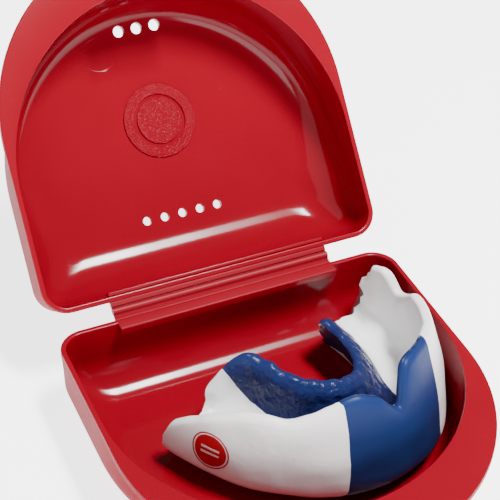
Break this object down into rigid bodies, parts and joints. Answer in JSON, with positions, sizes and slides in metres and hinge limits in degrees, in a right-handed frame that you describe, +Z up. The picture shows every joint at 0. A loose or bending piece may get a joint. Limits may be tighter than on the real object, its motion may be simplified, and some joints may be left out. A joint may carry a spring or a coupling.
{
  "type": "mouthguard with hinged case",
  "caption": "Laminated sports mouthguard with a contrasting stripe, lying trough up in a round-fronted plastic case with a film-hinged vented lid that stands open.",
  "frame": {"origin": "middle of the case footprint, on the surface that the base stands on", "axes": "+Z up, X along the film hinge, the hinge at +Y and the finger land of the base at -Y; the lid stands open at rest"},
  "size_m": [0.0802, 0.1333, 0.078],
  "materials": {
    "case_red": "moulded polypropylene, glossy inside and satin outside",
    "case_matt": "fine matt texture in the mould",
    "hinge_film": "smooth, slightly stretched film",
    "guard_white": "thermoformed sheet, satin, slightly translucent",
    "guard_blue": "thermoformed sheet, glossy in the trough, satin outside",
    "tag_red": "printed film under the clear skin",
    "tag_white": "blank writing lines"
  },
  "bodies": {
    "base": {"base_shell": "case_red", "base_hinge_rail": "case_red", "base_hinge_leaf": "case_red", "film_hinge": "hinge_film"},
    "lid": {"lid_shell": "case_red", "lid_hinge_rail": "case_red", "lid_hinge_leaf": "case_red", "lid_roundel_ring": "case_matt", "lid_roundel_disc": "case_matt", "lid_snap_rib": "case_red"},
    "mouthguard": {"guard_left_flange": "guard_white", "guard_right_flange": "guard_white", "guard_front_flange": "guard_blue", "guard_left_bite_pad": "guard_white", "guard_right_bite_pad": "guard_white", "guard_front_bite_pad": "guard_blue", "guard_front_palate_flange": "guard_blue", "tag_disc": "tag_red", "tag_ring": "tag_red", "tag_lines": "tag_white"}
  },
  "joints": [
    {"name": "lid_hinge", "type": "hinge", "parent": "base", "child": "lid", "pos_m": [0, 0.0405, 0.0179], "axis": [-1, 0, 0], "range_deg": [-130.6, 49]},
    {"name": "guard_lift", "type": "slide", "parent": "base", "child": "mouthguard", "axis": [0, 0, 1], "range_m": [0, 0.005]}
  ]
}
